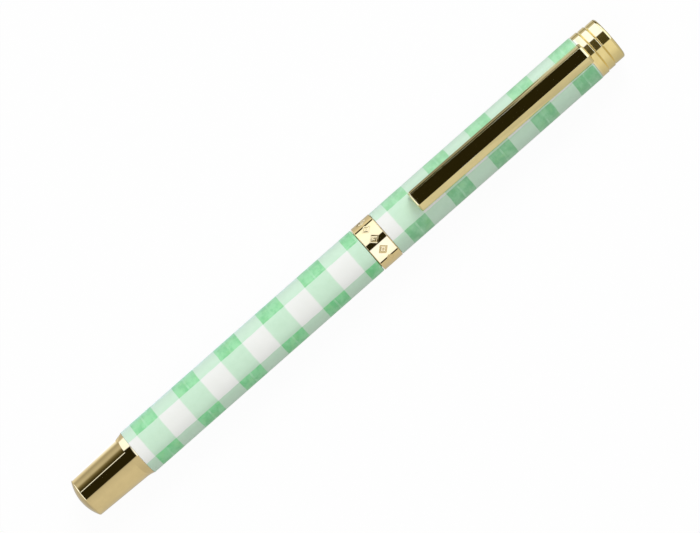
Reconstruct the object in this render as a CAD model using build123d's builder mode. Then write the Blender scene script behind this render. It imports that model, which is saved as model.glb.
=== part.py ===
from build123d import *
import math
import os

# Capped gel pen, lying on its side. X runs along the pen's axis: +X towards the
# cap's finial, -X towards the tail. +Z points at the clip. The origin is on the
# axis, at the mouth of the barrel, where the cap's lip meets it. Millimetres.

os.makedirs("parts", exist_ok=True)

# ---------------------------------------------------------------- driving sizes

tube_radius = 5.15          # lacquered outside of the barrel and the cap
tube_wall = 0.6
barrel_length = 60.0        # from the mouth back to the tail plug
tail_length = 14.75         # visible part of the tail plug
cap_length = 57.23          # from the barrel's mouth to the foot of the finial
band_length = 4.88
finial_length = 6.17

refill_length = 110.0       # standard long refill, 6 mm in diameter
refill_radius = 3.0
refill_wall = 0.55
ball_radius = 0.35          # 0.7 mm writing ball
point_end = 47.5            # how far the ball reaches in front of the mouth

thread_pitch = 0.75
thread_turns = 7

# Gaps. Glued and pressed pieces keep a hair's width, so no two solids share a face.
fixed_gap = 0.03
running_gap = 0.08

bore_radius = tube_radius - tube_wall
fixed_radius = bore_radius - fixed_gap      # whatever is pressed into either tube


# ---------------------------------------------------------------------- helpers

def turn(*outline, mode=Mode.ADD):
    """Turn a closed outline of (place along the axis, radius) points about the axis."""
    with BuildSketch() as profile:
        with BuildLine():
            Polyline(*outline, close=True)
        make_face()
    revolve(profile.sketch, axis=Axis.X, mode=mode)


def turn_ring(start, end, inner, outer, mode=Mode.ADD):
    """Ring, tube or rod with square ends, from start to end along the axis."""
    turn((start, inner), (end, inner), (end, outer), (start, outer), mode=mode)


def wind_thread(start, turns, profile_points, mode=Mode.ADD):
    """Right-hand thread about the axis: (along, radius) points swept along a helix."""
    pitch_line = profile_points[0][1]
    with BuildLine() as path:
        Helix(thread_pitch, thread_pitch * turns, pitch_line,
              center=(start, 0, 0), direction=(1, 0, 0))
    across = Plane(origin=path.line @ 0, x_dir=(1, 0, 0), z_dir=path.line % 0)
    with BuildSketch(across) as profile:
        with BuildLine():
            Polyline(*[(along, radius - pitch_line) for along, radius in profile_points],
                     close=True)
        make_face()
    sweep(profile.sketch, path=path.line, is_frenet=True, mode=mode)


def keep(piece, name):
    """Label a finished piece and write it to its own file."""
    piece.part.label = name
    export_step(piece.part, f"parts/{name}.step")


# ------------------------------------------------------------------ barrel side

mouth_round = 0.3           # the lacquer rolls over the barrel's mouth

with BuildPart() as barrel_tube:
    turn_ring(-barrel_length, 0, bore_radius, tube_radius)
    fillet(barrel_tube.edges().group_by(Axis.X)[-1].sort_by(SortBy.RADIUS)[-1], mouth_round)
keep(barrel_tube, "barrel_tube")

# The tail plug flares to the barrel's diameter, tapers and ends in a dome.
# Behind the refill it is bored out for the spring.
tail_end = -barrel_length - tail_length
tail_dome = 1.2
tail_corner = 0.6
tail_radius = 4.43
tail_neck = (-62.2, 4.79)
tail_flare = (-61.0, 4.91)
tail_spigot_length = 6.0
spring_bore_radius = 3.35
spring_bore_end = -69.5

with BuildPart() as tail_plug:
    with BuildSketch() as outline:
        with BuildLine():
            corner = (tail_end + tail_dome, tail_radius)
            rim = (-barrel_length - fixed_gap, tube_radius)
            spigot_end = -barrel_length + tail_spigot_length
            RadiusArc((tail_end, 0), corner, (tail_radius ** 2 + tail_dome ** 2) / (2 * tail_dome))
            Line(corner, tail_neck)
            ThreePointArc(tail_neck, tail_flare, rim)
            Polyline(rim, (rim[0], fixed_radius), (spigot_end, fixed_radius),
                     (spigot_end, spring_bore_radius), (spring_bore_end, spring_bore_radius),
                     (spring_bore_end, 0), (tail_end, 0))
        make_face()
        fillet(outline.vertices().sort_by_distance(Vector(*corner))[0], tail_corner)
    revolve(axis=Axis.X)
keep(tail_plug, "tail_plug")

# Threaded joint between barrel and section. The nut's thread is the section's,
# widened by a gap on every flank.
root_radius = 3.42
crest_radius = 3.66
root_half_width = 0.26
crest_half_width = 0.07
flank_gap = 0.06
thread_start = -6.25
insert_length = 12.0
lead_in = 0.7               # plain mouth, wider than the thread, that lets it start

with BuildPart() as barrel_insert:
    turn_ring(-insert_length, 0, root_radius + flank_gap, fixed_radius)
    wind_thread(thread_start - thread_pitch, thread_turns + 2,
                [(-root_half_width - flank_gap, root_radius),
                 (root_half_width + flank_gap, root_radius),
                 (crest_half_width + flank_gap, crest_radius + flank_gap),
                 (-crest_half_width - flank_gap, crest_radius + flank_gap)],
                mode=Mode.SUBTRACT)
    turn_ring(-lead_in, 0, 0, crest_radius + flank_gap + fixed_gap, mode=Mode.SUBTRACT)
keep(barrel_insert, "barrel_insert")

# Spring behind the refill.
refill_front = point_end - ball_radius      # centre of the ball
refill_rear = point_end - refill_length
spring_wire = 0.22
spring_radius = 2.6
spring_turns = 5
spring_start = spring_bore_end + spring_wire + fixed_gap
spring_height = refill_rear - spring_wire - fixed_gap - spring_start

with BuildPart() as refill_spring:
    with BuildLine() as coil:
        Helix(spring_height / spring_turns, spring_height, spring_radius,
              center=(spring_start, 0, 0), direction=(1, 0, 0))
    with BuildSketch(Plane(origin=coil.line @ 0, x_dir=(1, 0, 0), z_dir=coil.line % 0)):
        Circle(spring_wire)
    sweep(path=coil.line, is_frenet=True)
keep(refill_spring, "refill_spring")

# -------------------------------------------------------------- writing section

ring_front = 1.22
ring_radius = 4.45
section_start = -9.5
ring_round = 0.25
section_shoulder = ring_front + fixed_gap
section_front = 36.0
section_radius = 4.0
section_front_radius = 3.55
section_bore = refill_radius + running_gap
snap_place = 5.0            # raised bead that the cap's liner clicks over
snap_bead = 0.07
snap_width = 1.2
groove_start = 14.0         # fine grooves round the grip
groove_end = 30.0
groove_spacing = 1.6
groove_half_width = 0.3
groove_depth = 0.14


def section_outside(place):
    """Radius of the section's taper at a place along the axis."""
    share = (place - section_shoulder) / (section_front - section_shoulder)
    return section_radius + share * (section_front_radius - section_radius)


with BuildPart() as trim_ring:
    turn_ring(fixed_gap, ring_front, crest_radius + running_gap, ring_radius)
    rim_edges = trim_ring.edges().filter_by(GeomType.CIRCLE).sort_by(SortBy.RADIUS)[-2:]
    fillet(rim_edges, ring_round)
keep(trim_ring, "trim_ring")

with BuildPart() as grip_section:
    turn((section_start, section_bore), (section_front, section_bore),
         (section_front, section_front_radius), (section_shoulder, section_radius),
         (section_shoulder, crest_radius), (fixed_gap, crest_radius),
         (fixed_gap, root_radius), (section_start, root_radius))
    wind_thread(thread_start, thread_turns,
                [(-root_half_width, root_radius - fixed_gap),
                 (root_half_width, root_radius - fixed_gap),
                 (crest_half_width, crest_radius),
                 (-crest_half_width, crest_radius)])
    turn((snap_place - snap_width / 2, section_outside(snap_place) - snap_bead),
         (snap_place, section_outside(snap_place) + snap_bead),
         (snap_place + snap_width / 2, section_outside(snap_place) - snap_bead))
    groove_count = int((groove_end - groove_start) / groove_spacing) + 1
    for number in range(groove_count):
        place = groove_start + number * groove_spacing
        surface = section_outside(place)
        turn((place - groove_half_width, surface + groove_depth),
             (place, surface - groove_depth),
             (place + groove_half_width, surface + groove_depth), mode=Mode.SUBTRACT)
keep(grip_section, "grip_section")

# The nose cone closes the section and steadies the refill's metal point.
nose_start = section_front + fixed_gap
nose_end = 44.6
nose_spigot_start = 34.2
nose_bore = 2.1
nose_hole = 1.25            # clears the refill's metal point
nose_throat = (39.6, 41.6)  # the bore narrows between these places
nose_throat_radius = 1.65
nose_bulge = (41.0, 2.86)   # the cone's outside curves through this point
nose_lip_radius = 1.65
nose_lip_round = 0.2

with BuildPart() as nose_cone:
    with BuildSketch() as outline:
        with BuildLine():
            brim = (nose_start, section_front_radius)
            mouth = (nose_end, nose_lip_radius)
            spigot_radius = section_bore - fixed_gap
            ThreePointArc(brim, nose_bulge, mouth)
            Polyline(mouth, (nose_end, nose_hole), (nose_throat[1], nose_hole),
                     (nose_throat[1], nose_throat_radius), (nose_throat[0], nose_bore),
                     (nose_spigot_start, nose_bore), (nose_spigot_start, spigot_radius),
                     (nose_start, spigot_radius), brim)
        make_face()
        fillet(outline.vertices().sort_by_distance(Vector(*mouth))[0], nose_lip_round)
    revolve(axis=Axis.X)
keep(nose_cone, "nose_cone")

# ----------------------------------------------------------------------- refill

ink_radius = refill_radius - refill_wall - fixed_gap
plug_flange = 0.5
tube_start = refill_rear + plug_flange + fixed_gap
tube_end = 32.0
holder_plug_start = 27.0
holder_shoulder = 32.8
holder_radius = 1.95
holder_taper = 39.5
holder_end = 41.5
holder_tip_radius = 1.45
ink_rear = -48.0
follower_length = 4.0

with BuildPart() as refill_tube:
    turn_ring(tube_start, tube_end, refill_radius - refill_wall, refill_radius)
keep(refill_tube, "refill_tube")

vent_radius = 0.5
end_plug_length = 3.5
plug_chamfer = 0.3
with BuildPart() as refill_end_plug:
    turn_ring(refill_rear, refill_rear + plug_flange, vent_radius, refill_radius)
    turn_ring(refill_rear, refill_rear + plug_flange + end_plug_length, vent_radius, ink_radius)
    chamfer(refill_end_plug.edges().group_by(Axis.X)[-1].sort_by(SortBy.RADIUS)[-1], plug_chamfer)
keep(refill_end_plug, "refill_end_plug")

with BuildPart() as ink_follower:
    turn_ring(ink_rear - follower_length, ink_rear - fixed_gap, 0, ink_radius)
keep(ink_follower, "ink_follower")

with BuildPart() as ink_column:
    turn_ring(ink_rear, holder_plug_start - fixed_gap, 0, ink_radius)
keep(ink_column, "ink_column")

feed_radius = 0.9
point_radius = 1.15
point_start = 37.6
with BuildPart() as tip_holder:
    turn((holder_plug_start, feed_radius), (point_start - fixed_gap, feed_radius),
         (point_start - fixed_gap, point_radius + fixed_gap),
         (holder_end, point_radius + fixed_gap), (holder_end, holder_tip_radius),
         (holder_taper, holder_radius), (holder_shoulder, holder_radius),
         (holder_shoulder, refill_radius), (tube_end + fixed_gap, refill_radius),
         (tube_end + fixed_gap, ink_radius), (holder_plug_start, ink_radius))
keep(tip_holder, "tip_holder")

# The ball sits in a spherical seat whose lip closes just in front of its middle.
seat_radius = ball_radius + 0.02
lip_reach = 0.15
lip_radius = 0.47
cone_start = 45.3
ink_hole = 0.12
ink_channel = 0.6
ink_channel_end = 45.0
with BuildPart() as tip_point:
    turn((point_start, ink_hole), (refill_front + lip_reach, ink_hole),
         (refill_front + lip_reach, lip_radius), (cone_start, point_radius),
         (point_start, point_radius))
    turn_ring(point_start, ink_channel_end, 0, ink_channel, mode=Mode.SUBTRACT)
    with Locations((refill_front, 0, 0)):
        Sphere(seat_radius, mode=Mode.SUBTRACT)
keep(tip_point, "tip_point")

with BuildPart() as tip_ball:
    with Locations((refill_front, 0, 0)):
        Sphere(ball_radius)
keep(tip_ball, "tip_ball")

# -------------------------------------------------------------------------- cap

lip_start = 0.05            # the lip stops this far from the barrel's mouth
lip_width = 0.55
band_radius = tube_radius + 0.05
band_chamfer = 0.26
cap_mouth_round = 0.26      # the lacquer rolls over where it meets the band
neck_radius = 4.8           # the cap tube is turned down under the band
lozenge_count = 12          # engraved row round the band
lozenge_length = 2.0        # along the pen
lozenge_width = 1.9         # round the pen
lozenge_line = 0.2
lozenge_depth = 0.06

with BuildPart() as cap_tube:
    turn_ring(band_length + fixed_gap, cap_length, bore_radius, tube_radius)
    cap_mouth = cap_tube.edges().group_by(Axis.X)[0].sort_by(SortBy.RADIUS)[-1]
    fillet(cap_mouth, cap_mouth_round)
    turn_ring(lip_start + lip_width + fixed_gap, cap_length, bore_radius, neck_radius)
keep(cap_tube, "cap_tube")

with BuildPart() as centre_band:
    turn_ring(lip_start, band_length, neck_radius + fixed_gap, band_radius)
    turn_ring(lip_start, lip_start + lip_width, bore_radius, band_radius)
    outer_edges = centre_band.edges().filter_by(GeomType.CIRCLE).sort_by(SortBy.RADIUS)[-2:]
    chamfer(outer_edges, band_chamfer)
    band_middle = (lip_start + band_length) / 2
    faces = [Plane(origin=(band_middle, 0, 0), x_dir=(1, 0, 0),
                   z_dir=(0, math.sin(turned), math.cos(turned)))
             for turned in (2 * math.pi * n / lozenge_count for n in range(lozenge_count))]
    with BuildSketch(*[face.offset(band_radius - lozenge_depth) for face in faces]):
        for scale, mode in ((1, Mode.ADD), (1 - 3 * lozenge_line / lozenge_length, Mode.SUBTRACT)):
            with BuildLine():
                along, across = scale * lozenge_length / 2, scale * lozenge_width / 2
                Polyline((-along, 0), (0, across), (along, 0), (0, -across), close=True)
            make_face(mode=mode)
    extrude(amount=2 * lozenge_depth, mode=Mode.SUBTRACT)
keep(centre_band, "centre_band")

# Plastic liner: a snap ridge behind the section's bead, a narrower front that seals
# round the nose, and a closed end in front of the point. A place and a radius each.
liner_start = 1.5
liner_end = 50.0
liner_floor = 0.8
liner_wide = 4.15
liner_narrow = 3.8
liner_step = (34.0, 36.0)
liner_lead_in = 0.4
liner_end_radius = 3.0
liner_end_taper = 1.5
ridge_places = (3.0, 3.3, 3.7, 4.0)
ridge_radius = section_radius + snap_bead + 0.04
with BuildPart() as inner_cap:
    floor = liner_end - liner_floor
    turn((liner_end, 0), (liner_end, liner_end_radius),
         (liner_end - liner_end_taper, fixed_radius), (liner_start, fixed_radius),
         (liner_start, liner_wide + liner_lead_in / 2), (liner_start + liner_lead_in, liner_wide),
         (ridge_places[0], liner_wide), (ridge_places[1], ridge_radius),
         (ridge_places[2], ridge_radius), (ridge_places[3], liner_wide),
         (liner_step[0], liner_wide), (liner_step[1], liner_narrow),
         (floor - liner_floor, liner_narrow), (floor, liner_end_radius), (floor, 0))
keep(inner_cap, "inner_cap")

# The finial screw holds finial, clip ring and bushing together from inside the cap.
screw_radius = 1.47
screw_hole = 1.55
head_start = 50.4
head_end = 52.0
head_radius = 2.6
head_slot = (0.7, 0.8)      # width and depth
head_chamfer = 0.25
screw_end = 61.2
screw_run_out = 0.4
bushing_chamfer = 0.3
clip_ring_start = cap_length + fixed_gap
clip_ring_thickness = 0.48
clip_ring_radius = 4.38

with BuildPart() as cap_bushing:
    turn_ring(head_end + fixed_gap, cap_length - fixed_gap, screw_hole, fixed_radius)
    chamfer(cap_bushing.edges().group_by(Axis.X)[0].sort_by(SortBy.RADIUS)[-1], bushing_chamfer)
keep(cap_bushing, "cap_bushing")

with BuildPart() as finial_screw:
    turn_ring(head_start, head_end, 0, head_radius)
    turn_ring(head_end, screw_end, 0, screw_radius)
    chamfer(finial_screw.edges().group_by(Axis.X)[0], head_chamfer)
    with BuildSketch(Plane.YZ.offset(head_start)):
        Rectangle(2 * head_radius, head_slot[0])
    extrude(amount=head_slot[1], mode=Mode.SUBTRACT)
keep(finial_screw, "finial_screw")

with BuildPart() as clip_ring:
    turn_ring(clip_ring_start, clip_ring_start + clip_ring_thickness,
              screw_hole, clip_ring_radius)
keep(clip_ring, "clip_ring")

# Finial: three steps, each smaller than the last, with a fine groove between them.
finial_start = cap_length + fixed_gap
finial_end = cap_length + finial_length
step_radii = [5.07, 4.93, 4.79]
step_ends = [59.08, 60.83, finial_end]
step_groove = 0.25
step_groove_depth = 0.16
finial_corner = 0.5
recess_end = clip_ring_start + clip_ring_thickness + fixed_gap
notch_width = 2.9
notch_end = cap_length + 0.57

with BuildPart() as cap_finial:
    step_start = finial_start
    for radius, end in zip(step_radii, step_ends):
        turn_ring(step_start, end, 0, radius)
        step_start = end
    end_edges = cap_finial.edges().filter_by(GeomType.CIRCLE).group_by(Axis.X)[-1]
    fillet(end_edges, finial_corner)
    for radius, end in zip(step_radii[1:], step_ends[:-1]):
        outer = 2 * radius - (radius - step_groove_depth)
        turn((end - step_groove, outer), (end, radius - step_groove_depth),
             (end + step_groove, outer), mode=Mode.SUBTRACT)
    turn_ring(finial_start, recess_end, 0, clip_ring_radius + running_gap, mode=Mode.SUBTRACT)
    turn_ring(finial_start, screw_end + screw_run_out, 0, screw_radius + fixed_gap,
              mode=Mode.SUBTRACT)
    with BuildSketch(Plane.YZ.offset(finial_start)):
        with Locations((0, tube_radius)):
            Rectangle(notch_width, 2 * (tube_radius - clip_ring_radius))
    extrude(amount=notch_end - finial_start, mode=Mode.SUBTRACT)
keep(cap_finial, "cap_finial")

# ------------------------------------------------------------------- pocket clip

# Pressed channel, open underneath, that rises from its root at the finial to its
# free end. Its cross-section is a trapezoid with steep sides. Each pair of sizes
# below is (at the free end, at the root).
clip_ends = (13.03, cap_length + 0.47)
clip_tops = (8.5, 6.8)
clip_top_widths = (2.75, 2.5)
clip_base_width = 5.1
clip_edge_radii = (6.0, 5.3)        # the channel's lower edges stay outside this cone
clip_base = 4.4
clip_wall = 0.42
clip_end_round = 0.45
tongue_width = 2.5
tongue_thickness = 0.4
hinge_height = 4.72
foot_radius = 0.5


def along_clip(sizes, place):
    """A size at a place along the clip, from its values at the free end and the root."""
    share = (place - clip_ends[0]) / (clip_ends[1] - clip_ends[0])
    return sizes[0] + share * (sizes[1] - sizes[0])


def channel_section(place, inset):
    """Trapezoid across the clip at a place along it, smaller by inset on each side."""
    base_half = clip_base_width / 2 - inset
    top_half = along_clip(clip_top_widths, place) / 2 - inset * 0.7
    top = along_clip(clip_tops, place) - inset
    with BuildSketch(Plane.YZ.offset(place)) as section:
        with BuildLine():
            Polyline((-base_half, clip_base), (base_half, clip_base),
                     (top_half, top), (-top_half, top), close=True)
        make_face()
    return section.sketch


free_end, root_end = clip_ends
with BuildPart() as pocket_clip:
    loft([channel_section(free_end, 0), channel_section(root_end, 0)])
    end_edges = pocket_clip.edges().filter_by(Axis.Y).group_by(Axis.Z)
    fillet(end_edges[-1] + end_edges[-2], clip_end_round)
    loft([channel_section(free_end + clip_wall, clip_wall),
          channel_section(root_end - clip_wall, clip_wall)], mode=Mode.SUBTRACT)
    turn((free_end - 1, 0), (root_end + 1, 0),
         (root_end + 1, along_clip(clip_edge_radii, root_end + 1)),
         (free_end - 1, along_clip(clip_edge_radii, free_end - 1)), mode=Mode.SUBTRACT)
    # Rolled foot under the free end, the place that presses on a pocket.
    with BuildSketch(Plane.XZ):
        with Locations((free_end + foot_radius + fixed_gap, tube_radius + foot_radius + running_gap)):
            Circle(foot_radius)
    extrude(amount=tongue_width / 2, both=True)
    # Tongue that passes through the finial's notch and rocks on its rounded lower end.
    tongue_middle = root_end - tongue_thickness / 2
    tongue_top = clip_edge_radii[1] + clip_wall
    with BuildSketch(Plane.XZ):
        with Locations((tongue_middle, (hinge_height + tongue_top) / 2)):
            Rectangle(tongue_thickness, tongue_top - hinge_height)
        with Locations((tongue_middle, hinge_height)):
            Circle(tongue_thickness / 2)
    extrude(amount=tongue_width / 2, both=True)
keep(pocket_clip, "pocket_clip")
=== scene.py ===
import math

import bmesh
import bpy
from mathutils import Matrix, Vector


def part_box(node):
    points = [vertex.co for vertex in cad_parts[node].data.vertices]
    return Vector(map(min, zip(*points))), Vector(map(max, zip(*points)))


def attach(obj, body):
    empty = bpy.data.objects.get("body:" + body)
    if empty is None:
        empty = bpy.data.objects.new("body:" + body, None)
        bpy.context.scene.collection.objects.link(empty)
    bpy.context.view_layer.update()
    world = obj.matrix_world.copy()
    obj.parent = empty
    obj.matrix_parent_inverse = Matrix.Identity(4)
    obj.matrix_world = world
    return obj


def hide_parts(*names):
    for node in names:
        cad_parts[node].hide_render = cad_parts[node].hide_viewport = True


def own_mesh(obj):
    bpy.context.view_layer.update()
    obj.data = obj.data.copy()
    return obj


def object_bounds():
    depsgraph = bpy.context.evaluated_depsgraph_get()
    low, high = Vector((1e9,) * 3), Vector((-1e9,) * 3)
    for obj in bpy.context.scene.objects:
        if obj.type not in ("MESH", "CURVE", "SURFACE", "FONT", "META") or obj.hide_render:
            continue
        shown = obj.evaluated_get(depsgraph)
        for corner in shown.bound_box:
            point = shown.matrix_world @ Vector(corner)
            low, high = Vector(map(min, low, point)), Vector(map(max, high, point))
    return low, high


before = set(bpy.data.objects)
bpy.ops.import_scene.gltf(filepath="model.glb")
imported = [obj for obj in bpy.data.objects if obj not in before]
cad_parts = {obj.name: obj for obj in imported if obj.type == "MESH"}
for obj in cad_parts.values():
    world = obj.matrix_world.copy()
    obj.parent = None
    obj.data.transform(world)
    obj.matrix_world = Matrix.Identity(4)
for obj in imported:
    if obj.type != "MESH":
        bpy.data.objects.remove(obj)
cad_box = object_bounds()

# A capped gel pen lying on its side. X runs along its axis towards the finial, Z
# towards the clip, and the origin is at the barrel's mouth. Shapes below are in
# millimetres and are written to their meshes in metres.

MM = 0.001
TURN_STEPS = 160            # segments round a turned piece
ARC_STEPS = 6               # segments in a rounded corner
EDGE_SHARE = 0.49           # most of an edge's length that one rounded corner takes
SUPPORT = 0.03              # from a rounded corner to the loop that keeps its faces flat
LONG_EDGE = 4               # an edge this many times as long as its corner gets that loop
ON_AXIS = 1e-6              # a radius below this is a single point on the axis


# ------------------------------------------------------------ sizes from the CAD

def box_mm(node):
    """Lowest and highest corner of a CAD node, in millimetres."""
    low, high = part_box(node)
    return low / MM, high / MM


def span(node):
    """First and last place of a CAD node along the pen, in millimetres."""
    low, high = box_mm(node)
    return low.x, high.x


def radius(node):
    """Outer radius of a turned CAD node, in millimetres."""
    return box_mm(node)[1].y


barrel_tail, barrel_mouth = span("barrel_tube")
cap_start, cap_end = span("cap_tube")
band_start, band_end = span("centre_band")
tail_end, tail_spigot = span("tail_plug")
finial_start, finial_end = span("cap_finial")
ring_start, ring_end = span("trim_ring")
section_start, section_front = span("grip_section")
nose_spigot, nose_end = span("nose_cone")
liner_start, liner_end = span("inner_cap")
refill_start, refill_front = span("refill_tube")
holder_start, holder_end = span("tip_holder")
point_start, point_end = span("tip_point")
spring_start, spring_end = span("refill_spring")
clip_low, clip_high = box_mm("pocket_clip")

tube_radius = radius("barrel_tube")
band_radius = radius("centre_band")
fit_radius = radius("barrel_insert")

# Inner sizes of the CAD solids, which their boxes don't show.
BORE_RADIUS = 4.55          # of the barrel and of the cap tube
SECTION_BORE = 3.08
THREAD_PITCH = 0.75

FIXED_GAP = 0.03            # between two pieces that are fixed to one another


# ------------------------------------------------------------------ mesh helpers

def rounded(points):
    """Closed outline with rounded corners, from (x, r) or (x, r, corner radius) points."""
    outline = []
    for i, point in enumerate(points):
        corner = Vector(point[:2])
        bend = point[2] if len(point) > 2 else 0
        if not bend:
            outline.append(corner)
            continue
        back = Vector(points[i - 1][:2]) - corner
        ahead = Vector(points[(i + 1) % len(points)][:2]) - corner
        half = back.angle(ahead) / 2
        reach = min(bend / math.tan(half), EDGE_SHARE * back.length, EDGE_SHARE * ahead.length)
        to_back, to_ahead = back.normalized(), ahead.normalized()
        start = corner + to_back * reach
        end = corner + to_ahead * reach
        centre = corner + (to_back + to_ahead).normalized() * (reach / math.cos(half))
        first, last = start - centre, end - centre
        sweep = first.angle_signed(last)
        if back.length > LONG_EDGE * (reach + SUPPORT):
            outline.append(start + to_back * SUPPORT)
        for step in range(ARC_STEPS + 1):
            outline.append(centre + Matrix.Rotation(-sweep * step / ARC_STEPS, 2) @ first)
        if ahead.length > LONG_EDGE * (reach + SUPPORT):
            outline.append(end + to_ahead * SUPPORT)
    return outline


def new_object(name, data):
    """Object with this data, in the scene."""
    thing = bpy.data.objects.new(name, data)
    bpy.context.scene.collection.objects.link(thing)
    return thing


def new_piece(name, bm, materials, sharp_degrees=32.0):
    """Object from a bmesh in millimetres: smooth, but sharp where faces meet at an angle.

    Its long faces keep their own normals next to small rounded corners."""
    bmesh.ops.recalc_face_normals(bm, faces=bm.faces)
    mesh = bpy.data.meshes.new(name)
    bm.transform(Matrix.Scale(MM, 4))
    bm.to_mesh(mesh)
    bm.free()
    for material in materials:
        mesh.materials.append(material)
    mesh.shade_smooth()
    mesh.set_sharp_from_angle(angle=math.radians(sharp_degrees))
    piece = new_object(name, mesh)
    weighted = piece.modifiers.new("normals", "WEIGHTED_NORMAL")
    weighted.keep_sharp, weighted.weight = True, 100
    return piece


def turned_mesh(outline, steps=TURN_STEPS, inside_radius=0.0):
    """Bmesh turned about the X axis. Faces nearer the axis than inside_radius get slot 1."""
    bm = bmesh.new()
    rings = []
    for x, r in outline:
        if r < ON_AXIS:
            rings.append([bm.verts.new((x, 0, 0))])
        else:
            rings.append([bm.verts.new((x, r * math.sin(2 * math.pi * k / steps),
                                        r * math.cos(2 * math.pi * k / steps)))
                          for k in range(steps)])
    for i, ring in enumerate(rings):
        following = rings[(i + 1) % len(rings)]
        if len(ring) == len(following) == 1:
            continue
        middle = (outline[i][1] + outline[(i + 1) % len(outline)][1]) / 2
        for k in range(steps):
            after = (k + 1) % steps
            corners = [ring[k % len(ring)], ring[after % len(ring)],
                       following[after % len(following)], following[k % len(following)]]
            face = bm.faces.new(dict.fromkeys(corners))
            face.material_index = int(middle < inside_radius)
    return bm


def turned(name, points, materials, **options):
    """Piece turned about the pen's axis from an outline of (x, r, corner radius) points."""
    return new_piece(name, turned_mesh(rounded(points), **options), materials)


def curve(start, end, first_slope, steps):
    """Line between two (x, r) points that starts at a share of the straight slope."""
    return [(start[0] + (end[0] - start[0]) * s,
             start[1] + (end[1] - start[1]) * (first_slope * s + (1 - first_slope) * s * s))
            for s in (k / steps for k in range(steps + 1))]


def skin(bm, loops):
    """Faces between loops that have equally many points, and a cap at either end."""
    for loop, following in zip(loops, loops[1:]):
        for k in range(len(loop)):
            after = (k + 1) % len(loop)
            bm.faces.new((loop[k], loop[after], following[after], following[k]))
    bm.faces.new(loops[0])
    bm.faces.new(loops[-1])


def stand_for(piece, body, slot, *nodes):
    """The piece rides on a body and takes the place of CAD nodes."""
    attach(piece, body)
    if nodes:
        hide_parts(*nodes)
    return piece


# -------------------------------------------------------------- material helpers

MIX_A, MIX_B, MIX_RESULT = 6, 7, 2      # colour sockets of a mix node
LIGHTEST, DARKEST = (1.0, 1.0, 1.0), (0.0, 0.0, 0.0)


class Tree:
    """Short calls for building a node tree."""

    def __init__(self, tree):
        self.tree = tree

    def add(self, kind, inputs=None, **properties):
        node = self.tree.nodes.new(kind)
        for name, value in properties.items():
            setattr(node, name, value)
        for name, value in (inputs or {}).items():
            self.set(node.inputs[name], value)
        return node

    def set(self, socket, value):
        if isinstance(value, bpy.types.NodeSocket):
            self.tree.links.new(value, socket)
        else:
            socket.default_value = value

    def math(self, operation, a, b=0.0, c=0.0):
        node = self.add("ShaderNodeMath", {0: a, 1: b, 2: c}, operation=operation)
        return node.outputs[0]

    def mix(self, factor, a, b, blend="MIX"):
        node = self.add("ShaderNodeMix", data_type="RGBA", blend_type=blend)
        self.set(node.inputs[0], factor)
        for socket, value in ((MIX_A, a), (MIX_B, b)):
            is_socket = isinstance(value, bpy.types.NodeSocket)
            self.set(node.inputs[socket], value if is_socket else (*value, 1))
        return node.outputs[MIX_RESULT]

    def fade(self, value, start, end, low=0.0, high=1.0):
        """Smooth step from low to high as value goes from start to end."""
        node = self.add("ShaderNodeMapRange", {0: value, 1: start, 2: end, 3: low, 4: high},
                        interpolation_type="SMOOTHSTEP")
        return node.outputs[0]

    def scaled(self, vector, factor):
        node = self.add("ShaderNodeVectorMath", {0: vector, "Scale": factor}, operation="SCALE")
        return node.outputs[0]


class Nodes(Tree):
    """The node tree of a new material."""

    def __init__(self, name):
        self.material = bpy.data.materials.new(name)
        self.material.use_nodes = True
        super().__init__(self.material.node_tree)
        self.shader = self.tree.nodes["Principled BSDF"]

    def place(self):
        """The point on the piece in millimetres, in the pen's frame at rest."""
        return self.scaled(self.add("ShaderNodeTexCoord").outputs["Object"], 1 / MM)

    def stretched(self, vector, scale):
        """The point, scaled by a different factor on each axis."""
        node = self.add("ShaderNodeVectorMath", {0: vector, 1: scale}, operation="MULTIPLY")
        return node.outputs[0]

    def noise(self, vector, scale, detail=3.0, roughness=0.5):
        """Noise between 0 and 1; scale is in features per millimetre."""
        node = self.add("ShaderNodeTexNoise", {"Vector": vector, "Scale": scale, "Detail": detail,
                                               "Roughness": roughness})
        return node.outputs["Fac"]

    def worn_edges(self, start, end, most=1.0):
        """Share of wear, which grows as the surface bends outwards more sharply."""
        bend = self.add("ShaderNodeNewGeometry").outputs["Pointiness"]
        return self.fade(bend, start, end, 0.0, most)

    def bump(self, height, depth_mm, strength):
        """Bump from a height between 0 and 1, whose full depth is in millimetres."""
        node = self.add("ShaderNodeBump", {"Height": height, "Distance": depth_mm * MM,
                                           "Strength": strength})
        self.tree.links.new(node.outputs[0], self.shader.inputs["Normal"])

    def finish(self, **inputs):
        """Set the shader's inputs by their names, with _ for spaces."""
        for name, value in inputs.items():
            self.set(self.shader.inputs[name.replace("_", " ")], value)
        return self.material


def colour(red, green, blue):
    """Linear colour from its 0 to 255 display values."""
    return tuple((v / 255 / 12.92) if v <= 10 else ((v / 255 + 0.055) / 1.055) ** 2.4
                 for v in (red, green, blue))


def dimmed(base, share):
    return tuple(share * v for v in base)


# --------------------------------------------------------------------- materials

ROW_LENGTH = 10.92          # one dark and one light row of the check, along the pen
ROW_START = -3.05           # a dark row starts here
DARK_ROW_MIDDLE = 0.2485    # share of a repeat from there to the row's middle
COLUMN_COUNT = 3            # dark columns round the pen
LINE_WIDTH = 0.28           # pale thread through the middle of each dark square
WANDER, WANDER_ROUND = 0.22, 0.035      # unevenness of the print, along (mm) and round (radians)
ROW_FADE, COLUMN_FADE = 0.009, 0.006    # half width of the print's edges, in repeats
WHITE_ROW_FADE = (0.02, 0.016)          # outer and inner half width where a row meets white
THREAD_FADE = 0.008                     # width over which a thread's edge fades


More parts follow.
